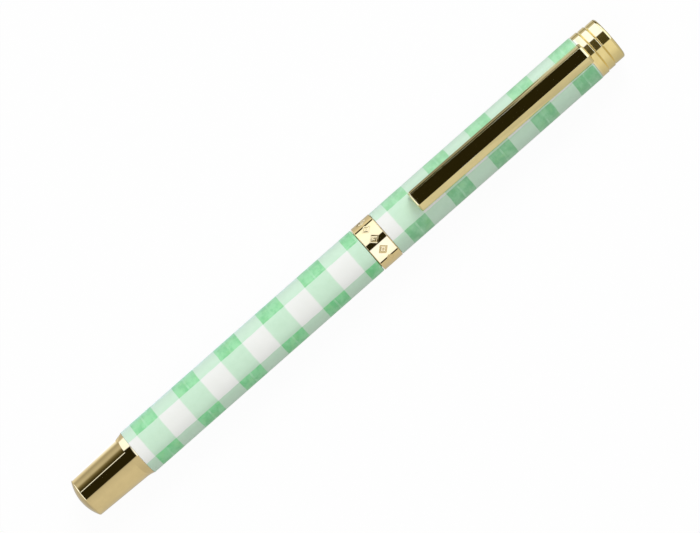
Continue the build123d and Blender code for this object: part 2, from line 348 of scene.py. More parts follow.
def gingham(name, turned_degrees, green_painted_lit, green_painted_shade, dark_column, dark_row):
    """Printed check under satin lacquer: three tones, as two crossed sets of bands give, with
    painted light that is lighter towards +Y and darker towards -Y.
    """
    n = Nodes(name)
    place = n.place()
    wander = n.math("SUBTRACT", n.noise(place, 0.45, 2.0), 0.5)
    wander_round = n.math(
        "SUBTRACT", n.noise(n.stretched(place, (1.0, 1.3, 0.8)), 0.6, 2.0), 0.5)
    axes = n.add("ShaderNodeSeparateXYZ", {0: place}).outputs
    along = n.math("MULTIPLY_ADD", wander, WANDER, axes[0])
    angle = n.math("MULTIPLY_ADD", wander_round, WANDER_ROUND,
                   n.math("ARCTAN2", axes[1], axes[2]))

    def from_middle(value, start, repeat, shift):
        """Distance from the middle of the nearest dark band, in shares of a repeat."""
        share = n.math("DIVIDE", n.math("SUBTRACT", value, start), repeat)
        share = n.math("FRACT", n.math("ADD", share, shift))
        return n.math("ABSOLUTE", n.math("SUBTRACT", share, 0.5))

    def within(distance, half_width, outer_fade, inner_fade):
        return n.fade(distance, half_width + outer_fade, half_width - inner_fade)

    row_off = from_middle(along, ROW_START, ROW_LENGTH, 0.5 - DARK_ROW_MIDDLE)
    column_off = from_middle(angle, math.radians(turned_degrees), 2 * math.pi / COLUMN_COUNT, 10.0)
    row = within(row_off, dark_row / 2, ROW_FADE, ROW_FADE)
    white_row = within(row_off, dark_row / 2, *WHITE_ROW_FADE)
    column = within(column_off, dark_column / 2, COLUMN_FADE, COLUMN_FADE)

    # the three tones; pale and green carry painted light across the pen: painted highlight on the
    # lit +Y side, painted shade on the shaded -Y side
    white = n.mix(n.noise(place, 0.35), colour(243, 243, 239), colour(236, 238, 232))
    pale = n.mix(n.noise(place, 0.8), colour(209, 238, 213), colour(197, 229, 201))
    # painted highlight: the pale squares whiten towards the lit +Y side
    pale = n.mix(n.fade(axes[1], 1.5, 3.0, 0.0, 0.07), pale, LIGHTEST)
    # painted shade: the pale squares darken towards the shaded -Y side
    pale = n.mix(n.fade(axes[1], -2.4, -3.6, 0.0, 0.08), pale, DARKEST)
    pool = n.noise(n.stretched(place, (1.0, 0.7, 0.7)), 0.55, 4.0, 0.6)
    # painted light: the green runs from its painted-shade tone on the -Y side to its painted-lit
    # tone on the +Y side
    green = n.mix(n.fade(axes[1], -2.0, 2.0), green_painted_shade, green_painted_lit)
    wash = n.mix(n.fade(pool, 0.35, 0.65), n.mix(0.1, green, LIGHTEST), n.mix(0.12, green, DARKEST))
    wash = n.mix(n.fade(n.noise(place, 0.5), 0.5, 0.75, 0.0, 0.25), wash, colour(170, 226, 150))
    thread = n.math("MULTIPLY", within(row_off, LINE_WIDTH / ROW_LENGTH / 2, THREAD_FADE, 0.0),
                    n.math("MULTIPLY", row, column))
    thread = n.math("MULTIPLY", thread, n.fade(n.noise(place, 0.7), 0.35, 0.65, 0.1, 0.38))
    wash = n.mix(thread, wash, colour(200, 240, 208))
    check = n.mix(column, n.mix(white_row, white, pale), n.mix(row, pale, wash))

    fibre = n.noise(n.stretched(place, (1.0, 3.0, 3.0)), 6.0, 4.0, 0.65)
    tone = n.mix(0.06, check, n.mix(fibre, DARKEST, LIGHTEST), "OVERLAY")
    tone = n.mix(n.worn_edges(0.53, 0.62, 0.5), tone, colour(232, 238, 234))

    peel = n.noise(place, 1.6, 2.0)         # the lacquer's orange peel
    grain = n.noise(place, 14.0, 2.0)
    n.bump(n.math("MULTIPLY_ADD", grain, 0.25, peel), 0.006, 0.5)
    rough = n.fade(n.noise(place, 0.7, 5.0), 0.3, 0.7, 0.38, 0.46)
    return n.finish(Base_Color=tone, Roughness=rough, Specular_IOR_Level=0.5,
                    Coat_Weight=0.3, Coat_Roughness=0.3)


def plated(name, base, rough_low, rough_high, around=True):
    """Polished plating: fine polishing lines, faint smears and brighter rubbed edges."""
    n = Nodes(name)
    place = n.place()
    stretch = (14.0, 0.6, 0.6) if around else (0.5, 14.0, 14.0)
    lines = n.noise(n.stretched(place, stretch), 2.2, 2.0, 0.6)
    smear = n.noise(place, 0.35, 4.0, 0.6)
    tint = n.mix(n.fade(smear, 0.35, 0.7), base, dimmed(base, 0.93))
    tint = n.mix(n.math("MULTIPLY", n.worn_edges(0.52, 0.6), 0.35), tint, (1.0, 0.93, 0.74))
    rough = n.fade(smear, 0.3, 0.75, rough_low, rough_high)
    rough = n.math("MULTIPLY_ADD", lines, 0.008, rough)
    n.bump(lines, 0.00002, 0.5)
    return n.finish(Base_Color=tint, Metallic=1.0, Roughness=rough)


def machined(name, base, rough):
    """Turned or drawn bare metal, with marks that run round the axis."""
    n = Nodes(name)
    place = n.place()
    marks = n.noise(n.stretched(place, (9.0, 0.35, 0.35)), 3.0, 5.0, 0.7)
    stain = n.noise(place, 0.5, 4.0)
    tint = n.mix(n.fade(stain, 0.3, 0.8), base, dimmed(base, 0.78))
    n.bump(marks, 0.004, 0.6)
    return n.finish(Base_Color=tint, Metallic=1.0,
                    Roughness=n.fade(marks, 0.2, 0.8, rough * 0.75, rough * 1.35))


def moulded(name, base, rough, **more):
    """Moulded plastic: fine spark-eroded grain, slight tone drift and scuffed edges."""
    n = Nodes(name)
    place = n.place()
    grain = n.noise(place, 18.0, 3.0, 0.6)
    drift = n.noise(place, 0.4, 3.0)
    scuffed = tuple(min(1.0, 1.25 * v + 0.02) for v in base)
    tint = n.mix(n.worn_edges(0.53, 0.62, 0.5),
                 n.mix(n.fade(drift, 0.3, 0.7), base, dimmed(base, 0.88)), scuffed)
    n.bump(grain, 0.008, 0.45)
    return n.finish(Base_Color=tint, Roughness=n.fade(drift, 0.3, 0.7, rough * 0.88, rough * 1.12),
                    **more)


# greens of the check as lit and shaded copies: painted light for the +Y side, painted shade for the
# -Y side
GREEN_PAINTED_LIT, GREEN_PAINTED_SHADE = colour(140, 221, 155), colour(121, 216, 143)
CAP_GREEN_PAINTED_LIT, CAP_GREEN_PAINTED_SHADE = colour(160, 227, 171), colour(131, 205, 146)

barrel_lacquer = gingham("barrel_lacquer", -10.4, GREEN_PAINTED_LIT, GREEN_PAINTED_SHADE, 0.475, 0.497)
cap_lacquer = gingham("cap_lacquer", -0.6, CAP_GREEN_PAINTED_LIT, CAP_GREEN_PAINTED_SHADE, 0.5, 0.485)
gold = plated("gold_plate", (0.95, 0.745, 0.362), 0.012, 0.03)
finial_gold = plated("finial_gold_plate", (0.94, 0.762, 0.335), 0.012, 0.03)
clip_gold = plated("clip_gold_plate", (0.94, 0.785, 0.375), 0.012, 0.03, around=False)
brass = machined("turned_brass", (0.66, 0.50, 0.24), 0.32)
steel = machined("drawn_steel", (0.56, 0.56, 0.58), 0.24)
nickel_silver = machined("nickel_silver", (0.74, 0.72, 0.66), 0.16)
black_grip = moulded("black_grip", (0.018, 0.016, 0.014), 0.36,
                     Specular_Tint=(1.0, 0.9, 0.72, 1.0))
white_plastic = moulded("white_plastic", (0.82, 0.82, 0.79), 0.4)
refill_plastic = moulded("refill_plastic", (0.86, 0.89, 0.90), 0.16,
                         Transmission_Weight=0.75, IOR=1.49)
gel_ink = moulded("gel_ink", (0.008, 0.008, 0.012), 0.12)
follower_gel = moulded("follower_gel", (0.85, 0.80, 0.55), 0.1,
                       Transmission_Weight=0.7, IOR=1.42)


# ------------------------------------------------------------------- barrel side

barrel = turned("barrel_shell", [
    (barrel_tail, BORE_RADIUS), (barrel_tail, tube_radius, 0.05),
    (barrel_mouth, tube_radius, 0.2), (barrel_mouth, BORE_RADIUS, 0.05),
], [barrel_lacquer, brass], inside_radius=tube_radius - 0.2)
stand_for(barrel, "barrel", "gingham_lacquer", "barrel_tube")


TAIL_RADIUS, TAIL_DOME, NECK = 4.43, 1.2, (-61.8, 4.8)
SPRING_BORE, SPRING_BORE_END = 3.35, -69.5
dome_radius = (TAIL_RADIUS ** 2 + TAIL_DOME ** 2) / (2 * TAIL_DOME)
dome = [(tail_end + dome_radius - math.sqrt(dome_radius ** 2 - r ** 2), r)
        for r in (TAIL_RADIUS * k / 12 for k in range(12))]
tail = turned("tail_plug_gold", [
    *dome, (tail_end + TAIL_DOME, TAIL_RADIUS, 0.6),
    *curve(NECK, (barrel_tail - FIXED_GAP, tube_radius - 0.02), 0.25, 10),
    (barrel_tail - FIXED_GAP, fit_radius), (tail_spigot, fit_radius, 0.1),
    (tail_spigot, SPRING_BORE, 0.1), (SPRING_BORE_END, SPRING_BORE), (SPRING_BORE_END, 0),
], [gold])
stand_for(tail, "barrel", "gold_trim", "tail_plug")


def swept_wire(name, line, wire_radius, material, sides=12):
    """Closed round wire along a list of points."""
    bm = bmesh.new()
    rings = []
    for i, point in enumerate(line):
        ahead = (line[min(i + 1, len(line) - 1)] - line[max(i - 1, 0)]).normalized()
        side = ahead.cross(Vector((1, 0, 0))).normalized()
        up = side.cross(ahead)
        rings.append([bm.verts.new(point + wire_radius * (math.cos(a) * side + math.sin(a) * up))
                      for a in (2 * math.pi * k / sides for k in range(sides))])
    skin(bm, rings)
    return new_piece(name, bm, [material], 60.0)


WIRE, COIL_RADIUS, COILS, END_COILS = 0.22, 2.6, 6.5, 1.0


def spring_line(steps_per_coil=40):
    """Compression spring whose end coils lie closed."""
    first, last = spring_start + WIRE, spring_end - WIRE
    closed_pitch = 2.05 * WIRE
    line = []
    for i in range(int(COILS * steps_per_coil) + 1):
        coil = i / steps_per_coil
        start_run = min(coil, END_COILS) * closed_pitch
        end_run = max(0.0, coil - (COILS - END_COILS)) * closed_pitch
        open_coils = min(max(coil, END_COILS), COILS - END_COILS) - END_COILS
        open_share = open_coils / (COILS - 2 * END_COILS)
        open_run = open_share * (last - first - 2 * END_COILS * closed_pitch)
        angle = 2 * math.pi * coil
        line.append(Vector((first + start_run + open_run + end_run,
                            COIL_RADIUS * math.sin(angle), COIL_RADIUS * math.cos(angle))))
    return line


spring = swept_wire("refill_spring_wire", spring_line(), WIRE, steel)
stand_for(spring, "barrel", "spring_steel", "refill_spring")
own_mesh(spring)

# ------------------------------------------------------------------- the section

RING_BORE = 3.74
ring = turned("section_trim_ring", [
    (ring_start, RING_BORE, 0.05), (ring_start, radius("trim_ring"), 0.25),
    (ring_end, radius("trim_ring"), 0.25), (ring_end, RING_BORE, 0.05),
], [gold])
stand_for(ring, "collar", "gold_trim", "trim_ring")

SHOULDER, SHOULDER_RADIUS, FRONT_RADIUS = 1.25, 4.0, 3.55
THREAD_ROOT, THREAD_CREST = 3.42, 3.66
THREAD_START, THREAD_TURNS = -6.25, 7
THREAD_FOOT, THREAD_TOP = 0.26, 0.07    # half width of the ridge at its foot and its crest
THREAD_SINK = 0.03          # depth of the ridge's foot in the root
BEAD, BEAD_WIDTH, BEAD_HEIGHT = 5.0, 1.2, 0.07
RIB_START, RIB_END, RIB_SPACING, RIB_WIDTH, RIB_DEPTH = 14.0, 30.0, 1.6, 0.6, 0.14


def section_radius(x):
    """Radius of the section's taper."""
    share = (x - SHOULDER) / (section_front - SHOULDER)
    return SHOULDER_RADIUS + share * (FRONT_RADIUS - SHOULDER_RADIUS)


def section_outline():
    """Threaded spigot, shoulder, snap bead and grooved grip, from the rear forward."""
    points = [(section_start, SECTION_BORE, 0.05), (section_start, THREAD_ROOT, 0.15),
              (ring_start, THREAD_ROOT), (ring_start, THREAD_CREST), (SHOULDER, THREAD_CREST),
              (SHOULDER, SHOULDER_RADIUS, 0.15)]
    for side, lift in ((-1, 0), (0, BEAD_HEIGHT), (1, 0)):
        x = BEAD + side * BEAD_WIDTH / 2
        points.append((x, section_radius(x) + lift, 0.3))
    for k in range(int((RIB_END - RIB_START) / RIB_SPACING) + 1):
        x = RIB_START + k * RIB_SPACING
        for place, depth, bend in ((x - RIB_WIDTH / 2, 0, 0.12), (x, RIB_DEPTH, 0.1),
                                   (x + RIB_WIDTH / 2, 0, 0.12)):
            points.append((place, section_radius(place) - depth, bend))
    return points + [(section_front, FRONT_RADIUS, 0.06), (section_front, SECTION_BORE, 0.05)]


def thread_ridge(bm, steps_per_turn=64):
    """Right-hand thread, added to a turned mesh; its ends run out into the root."""
    total = THREAD_TURNS * steps_per_turn
    foot = THREAD_ROOT - THREAD_SINK
    loops = []
    for i in range(total + 1):
        angle = 2 * math.pi * i / steps_per_turn
        x = THREAD_START + THREAD_PITCH * i / steps_per_turn
        rise = min(1.0, 4 * min(i, total - i) / steps_per_turn + 0.05)
        crest = THREAD_ROOT + rise * (THREAD_CREST - THREAD_ROOT)
        loops.append([bm.verts.new((x + along, r * -math.sin(angle), r * math.cos(angle)))
                      for along, r in ((-THREAD_FOOT, foot), (-THREAD_TOP, crest),
                                       (THREAD_TOP, crest), (THREAD_FOOT, foot))])
    skin(bm, loops)


section_mesh = turned_mesh(rounded(section_outline()))
thread_ridge(section_mesh)
section = new_piece("grip_section_body", section_mesh, [black_grip])
stand_for(section, "section", "black_grip", "grip_section")

NOSE_BORE, NOSE_HOLE, NOSE_LIP = 2.1, 1.25, 1.65
NOSE_THROAT = (39.6, 41.6)
nose_start = section_front + FIXED_GAP
nose_curve = curve((nose_start, FRONT_RADIUS), (nose_end, NOSE_LIP), 0.62, 14)[1:-1]
nose = turned("nose_cone_gold", [
    (nose_start, FRONT_RADIUS, 0.1), *nose_curve, (nose_end, NOSE_LIP, 0.2),
    (nose_end, NOSE_HOLE, 0.1), (NOSE_THROAT[1], NOSE_HOLE), (NOSE_THROAT[1], NOSE_LIP),
    (NOSE_THROAT[0], NOSE_BORE), (nose_spigot, NOSE_BORE), (nose_spigot, SECTION_BORE - FIXED_GAP),
    (nose_start, SECTION_BORE - FIXED_GAP),
], [gold])
stand_for(nose, "section", "gold_trim", "nose_cone")

# -------------------------------------------------------------------- the refill

refill_radius = radius("refill_tube")
TUBE_BORE, INK_RADIUS = 2.45, 2.42
tube = turned("refill_tube_wall", [
    (refill_start, TUBE_BORE, 0.06), (refill_start, refill_radius, 0.06),
    (refill_front, refill_radius, 0.06), (refill_front, TUBE_BORE, 0.06),
], [refill_plastic])
stand_for(tube, "refill", "refill_plastic", "refill_tube")

plug_start, plug_end = span("refill_end_plug")
end_plug = turned("refill_end_plug_body", [
    (plug_start, 0.5, 0.1), (plug_start, refill_radius, 0.12),
    (plug_start + 0.5, refill_radius, 0.05),
    (plug_start + 0.5, INK_RADIUS), (plug_end, INK_RADIUS, 0.3), (plug_end, 0.5, 0.1),
], [white_plastic])
stand_for(end_plug, "refill", "white_plastic", "refill_end_plug")


def liquid(name, node, material, hollow_start, hollow_end):
    """Rod of liquid in the refill, with a hollow meniscus at either end."""
    start, end = span(node)
    bow = [(r, (r / INK_RADIUS) ** 2) for r in (INK_RADIUS * k / 8 for k in range(9))]
    points = [(start + hollow_start * (1 - s), r) for r, s in bow]
    points += [(end - hollow_end * (1 - s), r) for r, s in reversed(bow)]
    return turned(name, points, [material])


ink = liquid("gel_ink_column", "ink_column", gel_ink, 0.0, 0.0)
stand_for(ink, "refill", "gel_ink", "ink_column")
follower = liquid("ink_follower_gel", "ink_follower", follower_gel, 0.9, 0.0)
stand_for(follower, "refill", "clear_gel", "ink_follower")

HOLDER_SHOULDER, HOLDER_RADIUS, HOLDER_TAPER, HOLDER_TIP, FEED = 32.8, 1.95, 39.5, 1.45, 0.9
SOCKET = 1.18
holder = turned("tip_holder_body", [
    (holder_start, FEED, 0.1), (holder_start, INK_RADIUS, 0.15),
    (refill_front + FIXED_GAP, INK_RADIUS),
    (refill_front + FIXED_GAP, refill_radius, 0.1), (HOLDER_SHOULDER, refill_radius, 0.15),
    (HOLDER_SHOULDER, HOLDER_RADIUS, 0.15), (HOLDER_TAPER, HOLDER_RADIUS, 0.5),
    (holder_end, HOLDER_TIP, 0.08), (holder_end, SOCKET, 0.05), (point_start - FIXED_GAP, SOCKET),
    (point_start - FIXED_GAP, FEED),
], [white_plastic])
stand_for(holder, "refill", "white_plastic", "tip_holder")

ball_low, ball_high = box_mm("tip_ball")
ball_centre, ball_radius = (ball_low.x + ball_high.x) / 2, (ball_high.x - ball_low.x) / 2
SEAT_GAP, POINT_RADIUS, CONE_START, LIP_RADIUS = 0.02, 1.15, 45.3, 0.47
SEAT_ANGLE = math.radians(161)          # the seat ends here, measured from +X
CHANNEL, CHANNEL_END = 0.6, 45.0        # radius of the ink's way to the ball, and its end
seat = ball_radius + SEAT_GAP
lip_angle = math.acos((point_end - ball_centre) / seat)
seat_arc = [(ball_centre + seat * math.cos(a), seat * math.sin(a))
            for a in (lip_angle + (SEAT_ANGLE - lip_angle) * k / 16 for k in range(17))]
point = turned("tip_point_metal", [
    (point_start, CHANNEL, 0.05), (point_start, POINT_RADIUS, 0.1),
    (CONE_START, POINT_RADIUS, 0.3),
    (point_end - 0.25, LIP_RADIUS + 0.1, 0.08), (point_end, LIP_RADIUS, 0.04),
    *seat_arc, (CHANNEL_END, seat_arc[-1][1]), (CHANNEL_END, CHANNEL),
], [nickel_silver], steps=96)
stand_for(point, "refill", "nickel_silver", "tip_point")

ball_mesh = bmesh.new()
bmesh.ops.create_icosphere(ball_mesh, subdivisions=5, radius=ball_radius)
bmesh.ops.translate(ball_mesh, vec=(ball_centre, 0, 0), verts=ball_mesh.verts)
ball = new_piece("writing_ball", ball_mesh, [steel])
stand_for(ball, "ball", "spring_steel", "tip_ball")

# ----------------------------------------------------------------------- the cap

NECK_RADIUS = 4.8           # the cap tube is turned down under the band
cap = turned("cap_shell", [
    (cap_start, BORE_RADIUS), (cap_start, NECK_RADIUS), (band_end + FIXED_GAP, NECK_RADIUS),
    (band_end + FIXED_GAP, tube_radius, 0.12), (cap_end, tube_radius, 0.05), (cap_end, BORE_RADIUS),
], [cap_lacquer, brass], inside_radius=tube_radius - 0.15)
stand_for(cap, "cap", "gingham_lacquer", "cap_tube")

LOZENGES, LOZENGE_LENGTH, LOZENGE_WIDTH, LOZENGE_INNER = 12, 2.0, 1.9, 0.7
ENGRAVED, STEPS_PER_LOZENGE, BAND_ROWS = 0.06, 52, 72
SEAM = 0.06                 # shadow gap at either end of the band


def smooth_step(low, high, value):
    share = min(max((value - low) / (high - low), 0.0), 1.0)
    return share * share * (3 - 2 * share)


def engraving(along, around):
    """Depth share of the row of outlined lozenges, each with a small one in its middle."""
    size = abs(along) / (LOZENGE_LENGTH / 2) + abs(around) / (LOZENGE_WIDTH / 2)
    outline = smooth_step(LOZENGE_INNER - 0.05, LOZENGE_INNER + 0.05, size) \
        * smooth_step(1.05, 0.95, size)
    return max(outline, smooth_step(0.27, 0.17, size))


def engraved_band():
    """The cap's lip band, with its engraving cut into a fine grid."""
    inner, neck_start = NECK_RADIUS + FIXED_GAP, 0.6
    edge = 0.08             # rounding of the outer edges
    start, end = band_start + SEAM, band_end - SEAM
    steps = LOZENGES * STEPS_PER_LOZENGE
    middle = (band_start + band_end) / 2
    face_start, face_end = start + edge, end - edge
    rows = [(face_start + (face_end - face_start) * k / BAND_ROWS, band_radius)
            for k in range(BAND_ROWS + 1)]
    corner = [(math.sin(a), math.cos(a)) for a in (math.radians(90 * k / 4) for k in range(1, 5))]
    outline = rows + [(face_end + edge * s, band_radius - edge * (1 - c)) for s, c in corner]
    outline += [(end, inner), (neck_start, inner), (neck_start, BORE_RADIUS), (start, BORE_RADIUS)]
    outline += [(face_start - edge * s, band_radius - edge * (1 - c)) for s, c in reversed(corner)]
    bm = turned_mesh(outline, steps)
    bm.verts.ensure_lookup_table()
    for i, (x, _) in enumerate(rows):
        for k in range(steps):
            around = ((k + STEPS_PER_LOZENGE / 2) % STEPS_PER_LOZENGE - STEPS_PER_LOZENGE / 2)
            around *= 2 * math.pi * band_radius / steps
            depth = ENGRAVED * engraving(x - middle, around)
            vert = bm.verts[i * steps + k]
            vert.co.yz *= (band_radius - depth) / band_radius
    return bm


band = new_piece("centre_band_engraved", engraved_band(), [gold], 50.0)
stand_for(band, "cap", "gold_trim", "centre_band")

LINER_WIDE, LINER_NARROW, LINER_FLOOR = 4.15, 3.8, 49.2
RIDGE, RIDGE_FOOT, RIDGE_TOP = 4.11, (3.0, 4.0), (3.3, 3.7)     # behind the section's bead
NARROWING = (34.0, 36.0)
liner = turned("inner_cap_liner", [
    (liner_end, 0), (liner_end, 3.0, 0.6), (liner_end - 1.5, fit_radius, 0.8),
    (liner_start, fit_radius, 0.05), (liner_start, LINER_WIDE + 0.2, 0.05),
    (liner_start + 0.4, LINER_WIDE, 0.1), (RIDGE_FOOT[0], LINER_WIDE, 0.1),
    (RIDGE_TOP[0], RIDGE, 0.08), (RIDGE_TOP[1], RIDGE, 0.08), (RIDGE_FOOT[1], LINER_WIDE, 0.1),
    (NARROWING[0], LINER_WIDE, 0.8), (NARROWING[1], LINER_NARROW, 0.8),
    (LINER_FLOOR - 0.8, LINER_NARROW, 0.4), (LINER_FLOOR, 3.0, 0.4), (LINER_FLOOR, 0),
], [white_plastic])
stand_for(liner, "cap", "white_plastic", "inner_cap")

STEP_RADII, STEP_ENDS = (5.07, 4.93, 4.79), (59.08, 60.83)
GROOVE, GROOVE_DEPTH = 0.16, 0.12
RECESS, RECESS_END, SCREW_HOLE, SCREW_HOLE_END = 4.46, 57.77, 1.5, 61.6
NOTCH_HALF, NOTCH_END, NOTCH_FLOOR = 1.45, 57.8, 4.49


def finial_outline():
    """Three steps with a fine groove at each, and an almost flat end."""
    points = [(finial_start, RECESS), (finial_start, STEP_RADII[0]),
              (NOTCH_END - 0.02, STEP_RADII[0]), (NOTCH_END, STEP_RADII[0])]
    for place, before, after in zip(STEP_ENDS, STEP_RADII, STEP_RADII[1:]):
        points += [(place - GROOVE, before, 0.13), (place, after - GROOVE_DEPTH, 0.02),
                   (place + GROOVE, after, 0.13)]
    points += [(finial_end - 0.05, STEP_RADII[2], 0.5), (finial_end, 2.4, 6.0), (finial_end, 0)]
    return points + [(SCREW_HOLE_END, 0), (SCREW_HOLE_END, SCREW_HOLE), (RECESS_END, SCREW_HOLE),
                     (RECESS_END, RECESS)]


def notched(bm):
    """Sink the part of the first step that the clip's tongue passes through."""
    for vert in bm.verts:
        x, y, z = vert.co
        outwards = vert.co.yz.length
        in_notch = x < NOTCH_END - 0.01 and z > RECESS and abs(y) < NOTCH_HALF
        if in_notch and outwards > NOTCH_FLOOR:
            vert.co.yz *= NOTCH_FLOOR / outwards
    return bm


finial = new_piece("cap_finial_gold", notched(turned_mesh(rounded(finial_outline()))),
                   [finial_gold])
stand_for(finial, "cap", "gold_trim", "cap_finial")

for node, material in (("cap_bushing", brass), ("finial_screw", steel), ("clip_ring", gold),
                       ("barrel_insert", brass)):
    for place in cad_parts[node].material_slots:
        place.material = material

# ---------------------------------------------------------------------- the clip

# Each pair is (at the free end, at the root).
CLIP_TOP = (8.48, 6.8)      # height of the flat top
TOP_HALF = (1.34, 1.19)     # half its width
EDGE_HALF = (2.37, 2.43)    # half width between the open edges
EDGE_HEIGHT = (5.56, 4.77)
END_ROUND = (0.45, 0.72)    # bend from the top into the end walls
EDGE_ROUND = (0.02, 0.09)   # bend from the top into the sides
EDGE_TURN = math.radians(57)            # how far that bend goes
CORNER_CUT = 0.3            # how much narrower the channel is at its very ends
CLIP_WALL = 0.42


def clip_section(bm, end, turn, inset):
    """Row of points across the channel, turn degrees round the bend at one of its ends."""
    end_round = max(END_ROUND[end] - inset, 0.05)
    edge_round = max(EDGE_ROUND[end] - inset, 0.02)
    rise = math.sin(math.radians(turn))
    inward = inset + end_round * (1 - math.cos(math.radians(turn)))
    x = clip_low.x + inward if end == 0 else clip_high.x - inward
    top = CLIP_TOP[end] - inset - end_round * (1 - rise)
    flat = TOP_HALF[end] - 0.7 * inset - CORNER_CUT * (1 - rise)
    base = Vector((EDGE_HALF[end] - inset - CORNER_CUT * (1 - rise), EDGE_HEIGHT[end]))
    half = [Vector((flat + edge_round * math.sin(a), top - edge_round * (1 - math.cos(a))))
            for a in (EDGE_TURN * k / 6 for k in range(7))]
    start = half[-1]
    drop = min((base.x - start.x) * math.tan(EDGE_TURN), 0.9 * (start.y - base.y))
    bulge = Vector((base.x, start.y - drop))
    half += [(1 - t) ** 2 * start + 2 * t * (1 - t) * bulge + t * t * base
             for t in (k / 8 for k in range(1, 9))]
    points = [(-y, z) for y, z in reversed(half)] + [(y, z) for y, z in half]
    return [bm.verts.new((x, y, z)) for y, z in points]


def channel():
    """Pressed channel with rolled edges, open underneath, with a wall at either end."""
    bm = bmesh.new()
    turns = [0, 15, 30, 45, 60, 75, 90]
    stations = [(0, turn) for turn in turns] + [(1, turn) for turn in reversed(turns)]
    outer, inner = ([clip_section(bm, end, turn, inset) for end, turn in stations]
                    for inset in (0, CLIP_WALL))
    for shell in (outer, inner):
        for row, following in zip(shell, shell[1:]):
            for k in range(len(row) - 1):
                bm.faces.new((row[k], row[k + 1], following[k + 1], following[k]))
        for row in (shell[0], shell[-1]):
            bm.faces.new(row)
    for k in (0, -1):
        for i in range(len(stations) - 1):
            bm.faces.new((outer[i][k], outer[i + 1][k], inner[i + 1][k], inner[i][k]))
        bm.faces.new((outer[k][0], outer[k][-1], inner[k][-1], inner[k][0]))
    return bm


clip = new_piece("pocket_clip_channel", channel(), [clip_gold])
stand_for(clip, "clip", "gold_trim", "pocket_clip")


def strip(name, outline, half_width, body):
    """Piece of the clip with a side outline in (x, z), drawn out to both sides."""
    bm = bmesh.new()
    skin(bm, [[bm.verts.new((x, y, z)) for x, z in outline] for y in (-half_width, half_width)])
    piece = new_piece(name, bm, [clip_gold])
    soften = piece.modifiers.new("rounding", "BEVEL")
    soften.width, soften.segments, soften.limit_method = 0.06 * MM, 3, "ANGLE"
    soften.angle_limit = math.radians(50)
    return stand_for(piece, body, "gold_trim")


def arc(centre, size, start_degrees, end_degrees, steps=14):
    """Points of an arc in the side view."""
    return [(centre[0] + size * math.cos(a), centre[1] + size * math.sin(a))
            for a in (math.radians(start_degrees + (end_degrees - start_degrees) * k / steps)
                      for k in range(steps + 1))]


STRIP_HALF = 1.25           # half width of the clip's foot and tongue
FOOT, FOOT_HEIGHT = 0.5, 0.9
TONGUE_HALF, TONGUE_TOP, HINGE_HEIGHT = 0.2, 5.6, 4.72
foot_centre = (clip_low.x + FOOT + 0.05, tube_radius + FOOT + 0.08)
strip("pocket_clip_foot", arc(foot_centre, FOOT, -180, 60)
      + [(foot_centre[0] + 0.1, foot_centre[1] + FOOT_HEIGHT),
         (clip_low.x + 0.05, foot_centre[1] + FOOT_HEIGHT)],
      STRIP_HALF, "clip")
tongue_middle = clip_high.x - TONGUE_HALF
strip("pocket_clip_tongue", arc((tongue_middle, HINGE_HEIGHT), TONGUE_HALF, -180, 0)
      + [(tongue_middle + TONGUE_HALF - 0.01, TONGUE_TOP),
         (tongue_middle - TONGUE_HALF, TONGUE_TOP)],
      STRIP_HALF, "clip")

# ------------------------------------------------------- floor, light and camera

FLOOR_HALF = 3.0
FLOOR_WHITE = 1.02          # what the camera sees of the floor and of the world
FLOOR_GREY, SHADOW_SHARE = 0.62, 0.07
floor_height = cad_box[0][2]


def add_floor():
    """Pale floor: nearly white to the camera, with the pen's faint shadow on it."""
    n = Nodes("pale_floor")
    grey = (FLOOR_GREY, FLOOR_GREY, FLOOR_GREY, 1)
    lit = n.add("ShaderNodeBsdfDiffuse", {"Color": grey}).outputs[0]
    glow = n.add("ShaderNodeEmission", {"Color": (1, 1, 1, 1), "Strength": FLOOR_WHITE}).outputs[0]
    seen = n.add("ShaderNodeMixShader", {0: SHADOW_SHARE, 1: glow, 2: lit}).outputs[0]
    path = n.add("ShaderNodeLightPath").outputs
    both = n.add("ShaderNodeMixShader", {0: path["Is Camera Ray"], 1: lit, 2: seen}).outputs[0]
    n.tree.links.new(both, n.tree.nodes["Material Output"].inputs[0])
    n.tree.nodes.remove(n.shader)
    n.material.cycles.emission_sampling = "NONE"
    mesh = bpy.data.meshes.new("floor")
    mesh.from_pydata([(x * FLOOR_HALF, y * FLOOR_HALF, floor_height)
                      for x, y in ((-1, -1), (1, -1), (1, 1), (-1, 1))], [], [(0, 1, 2, 3)])
    mesh.materials.append(n.material)
    floor = new_object("floor", mesh)
    floor.visible_glossy = False


add_floor()


def area_light(name, place, size, power):
    """Soft box that lights the pen but isn't seen in its trim."""
    data = bpy.data.lights.new(name, "AREA")
    data.shape, data.size, data.size_y, data.energy = "RECTANGLE", size[0], size[1], power
    lamp = new_object(name, data)
    lamp.location = place
    lamp.rotation_euler = (-Vector(place)).to_track_quat("-Z", "Y").to_euler()
    lamp.visible_glossy = False


area_light("key_light", (0.45, 0.5, 0.69), (0.5, 0.5), 5.15)
area_light("fill_light", (-0.32, -0.36, 0.77), (0.9, 0.6), 2.6)

